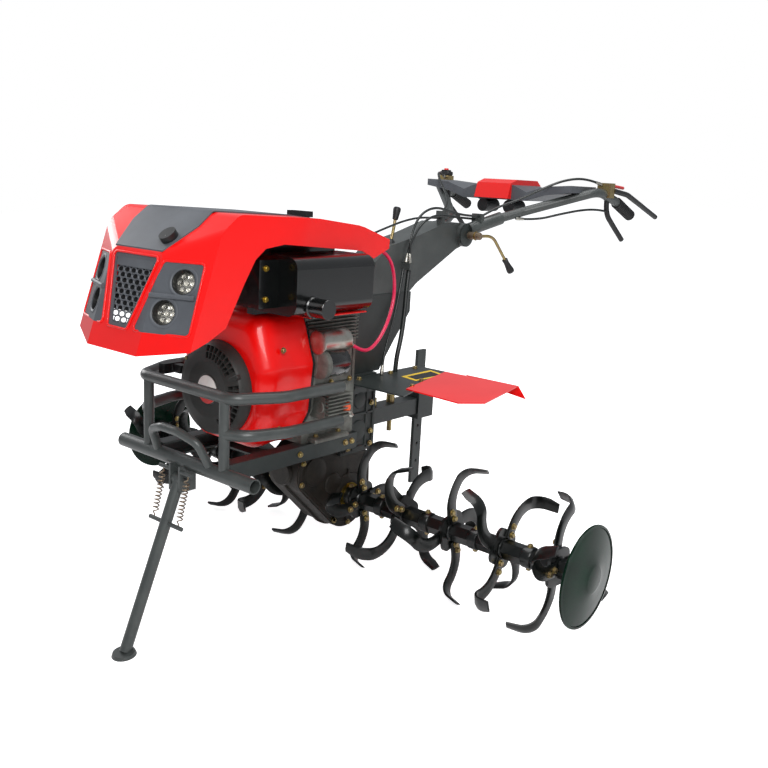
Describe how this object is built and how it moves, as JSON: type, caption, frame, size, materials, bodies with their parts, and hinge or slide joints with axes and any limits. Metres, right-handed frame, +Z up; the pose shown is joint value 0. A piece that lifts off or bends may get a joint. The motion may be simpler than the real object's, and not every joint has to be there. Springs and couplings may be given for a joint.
{
  "type": "power tiller",
  "caption": "Walking power tiller: red hood over a small engine, a gearbox driving a rotor of curved tines each side, folding front stand, tilting and swivelling handlebar.",
  "frame": {"origin": "on the floor, at the middle of the machine's length and width", "axes": "+Z up, -Y to the machine's front, +X to its left; it stands nose-up on its front stand"},
  "size_m": [1.586, 1.9882, 0.9799],
  "materials": {
    "red_paint": "gloss",
    "red_plastic": "gloss",
    "grey_plastic": "satin",
    "tube_grey": "satin",
    "dark_grey_paint": "satin",
    "black_paint": "gloss",
    "tine_black": "gloss",
    "cast_aluminium": "matte",
    "cast_iron": "matte",
    "black_plastic": "matte",
    "rubber": "matte",
    "zinc": "satin",
    "brass": "satin",
    "lamp": "gloss",
    "cable_red": "gloss"
  },
  "bodies": {
    "chassis": {"air_cleaner": "black_plastic", "bumper_arch": "tube_grey", "bumper_cross_tube": "tube_grey", "bumper_posts": "tube_grey", "bumper_side_tubes": "tube_grey", "bumper_top_tube": "tube_grey", "bundle_cable_low": "rubber", "clutch_cable_low": "rubber", "engine_block": "cast_aluminium", "engine_rails": "dark_grey_paint", "fan_shroud": "red_paint", "fender_extensions": "red_paint", "fenders": "dark_grey_paint", "fuel_cap": "black_plastic", "fuel_tank": "black_paint", "gearbox": "cast_iron", "grille": "grey_plastic", "handle_pedestal": "dark_grey_paint", "headlamps": "lamp", "headlight_panels": "grey_plastic", "hitch_frame": "dark_grey_paint", "hitch_pins": "zinc", "hood": "red_plastic", "hood_frame": "dark_grey_paint", "hood_latch": "black_plastic", "hood_top_panel": "grey_plastic", "injection_pump": "cast_aluminium", "muffler": "black_paint", "output_rings": "brass", "recoil_handle": "black_plastic", "recoil_starter": "black_plastic", "stand_bracket": "tube_grey", "stand_springs": "zinc", "starter_cable": "cable_red", "starter_motor": "cast_aluminium", "throttle_cable": "rubber", "transmission_housing": "dark_grey_paint"},
    "stem": {"gear_lever": "zinc", "handle_stem": "dark_grey_paint"},
    "handlebar": {"bar_cable_lower": "rubber", "bar_cable_right": "rubber", "bar_cable_upper": "rubber", "clutch_cable_loop": "rubber", "clutch_levers": "black_plastic", "drive_cable_loop": "rubber", "grips": "rubber", "handle_panel": "grey_plastic", "handlebar": "tube_grey", "lever_brackets": "zinc", "lock_lever": "zinc", "panel_cover": "red_plastic", "panel_rests": "black_plastic", "switch_box": "black_plastic", "throttle_lever": "red_plastic"},
    "rotor": {"rotor_shaft": "tine_black", "shield_discs": "tine_black", "tines_left": "tine_black", "tines_right": "tine_black"},
    "stand": {"stand_leg": "tube_grey"},
    "depth_bar": {"drag_bar": "dark_grey_paint"}
  },
  "joints": [
    {"name": "rotor_spin", "type": "hinge", "parent": "chassis", "child": "rotor", "pos_m": [0, -0.2751, 0.16954], "axis": [1, 0, 0], "continuous": true},
    {"name": "stand_fold", "type": "hinge", "parent": "chassis", "child": "stand", "pos_m": [0, -0.77886, 0.36582], "axis": [1, 0, 0], "range_deg": [0, 72], "deforming": ["stand_springs"]},
    {"name": "handle_swivel", "type": "hinge", "parent": "chassis", "child": "stem", "pos_m": [0, -0.07513, 0.69103], "axis": [0, 0.0941, 0.9956], "range_deg": [-30, 30], "deforming": ["bundle_cable_low", "clutch_cable_low", "throttle_cable"]},
    {"name": "handle_tilt", "type": "hinge", "parent": "stem", "child": "handlebar", "pos_m": [0, 0.25785, 0.81324], "axis": [1, 0, 0], "range_deg": [-15, 20], "deforming": ["drive_cable_loop", "clutch_cable_loop"]},
    {"name": "depth_bar_slide", "type": "slide", "parent": "chassis", "child": "depth_bar", "axis": [0, 0.0941, 0.9956], "range_m": [-0.08, 0.11]}
  ]
}
